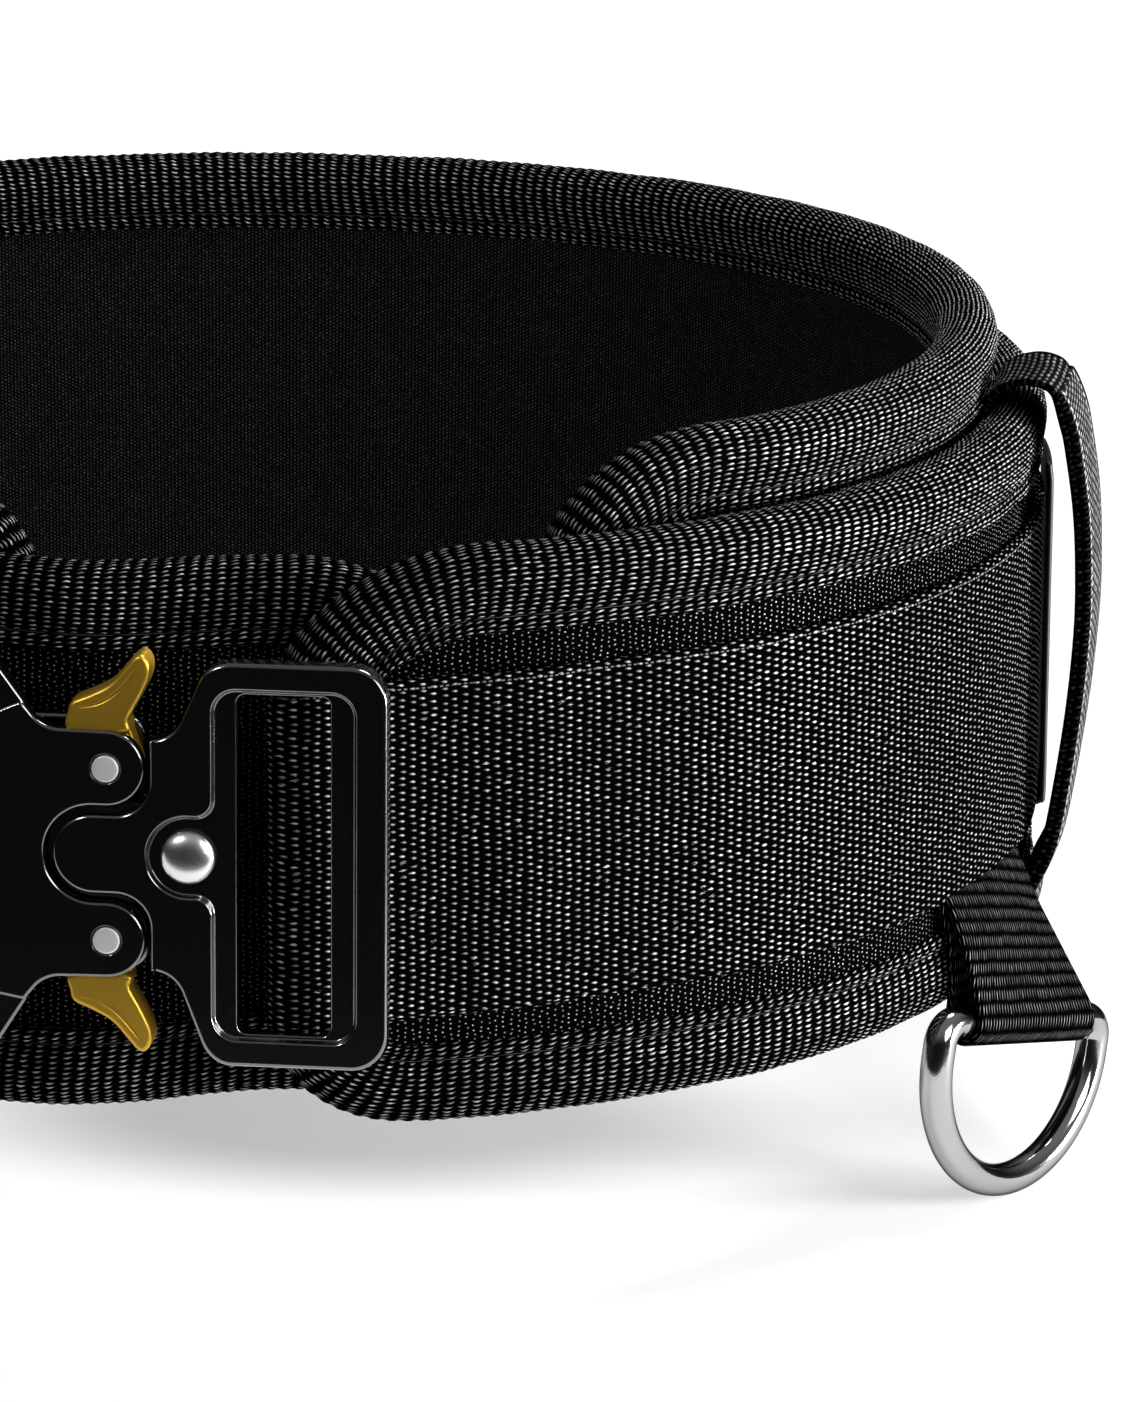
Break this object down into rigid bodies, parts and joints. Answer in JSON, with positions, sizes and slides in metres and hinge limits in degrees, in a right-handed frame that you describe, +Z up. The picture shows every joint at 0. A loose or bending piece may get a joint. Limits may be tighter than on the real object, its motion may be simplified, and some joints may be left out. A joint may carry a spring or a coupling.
{
  "type": "dip belt",
  "caption": "Padded waist belt with a wide webbing strap, a quick release buckle with two levers, side strap loops and hanging D-rings.",
  "frame": {"origin": "middle of the waist opening, at half the wide strap's height", "axes": "+Z up out of the waist opening, -Y out through the buckle, +X towards the wearer's left"},
  "size_m": [0.3332, 0.3244, 0.1521],
  "materials": {
    "lining": "fine black woven lining, matt",
    "cover": "fine black woven cover, matt",
    "binding": "ribbed black binding tape",
    "webbing": "coarse black webbing",
    "side_strap": "fine diagonal weave with stitched edges",
    "tab_webbing": "ribbed black webbing",
    "keeper": "smooth black, half gloss",
    "buckle_black": "fine black powder coat",
    "lever_gold": "gold anodised metal",
    "pin_steel": "bright steel",
    "ring_chrome": "polished chrome plate"
  },
  "bodies": {
    "root": {"inner_pad": "lining", "inner_binding": "binding", "outer_pad": "cover", "outer_binding": "binding", "wide_strap": "webbing", "buckle_frame": "buckle_black", "buckle_housing": "buckle_black", "lever_pin_upper": "pin_steel", "lever_pin_lower": "pin_steel", "frame_rivet": "pin_steel", "strap_bar_right": "buckle_black", "strap_bar_left": "buckle_black", "keeper_right": "keeper", "keeper_left": "keeper", "side_strap_right": "side_strap", "side_strap_left": "side_strap", "ring_tab_right": "tab_webbing", "ring_tab_left": "tab_webbing"},
    "lever_upper": {"lever_upper": "lever_gold"},
    "lever_lower": {"lever_lower": "lever_gold"},
    "ring_right": {"d_ring_right": "ring_chrome"},
    "ring_left": {"d_ring_left": "ring_chrome"}
  },
  "joints": [
    {"name": "lever_upper_release", "type": "hinge", "parent": "root", "child": "lever_upper", "pos_m": [0.0019, -0.1566, 0.0162], "axis": [0, 1, 0], "range_deg": [0, 14], "stiffness_Nm_per_rad": 0.02, "springref_deg": -8.59},
    {"name": "lever_lower_release", "type": "hinge", "parent": "root", "child": "lever_lower", "pos_m": [0.0019, -0.1566, -0.0138], "axis": [0, -1, 0], "range_deg": [0, 14], "stiffness_Nm_per_rad": 0.02, "springref_deg": -8.59},
    {"name": "ring_right_swing", "type": "hinge", "parent": "root", "child": "ring_right", "pos_m": [0.1512, -0.0496, -0.0558], "axis": [-0.5183, -0.8295, 0.2079], "range_deg": [-45, 100]},
    {"name": "ring_left_swing", "type": "hinge", "parent": "root", "child": "ring_left", "pos_m": [-0.1512, -0.0496, -0.0558], "axis": [-0.5183, 0.8295, -0.2079], "range_deg": [-45, 100]}
  ]
}
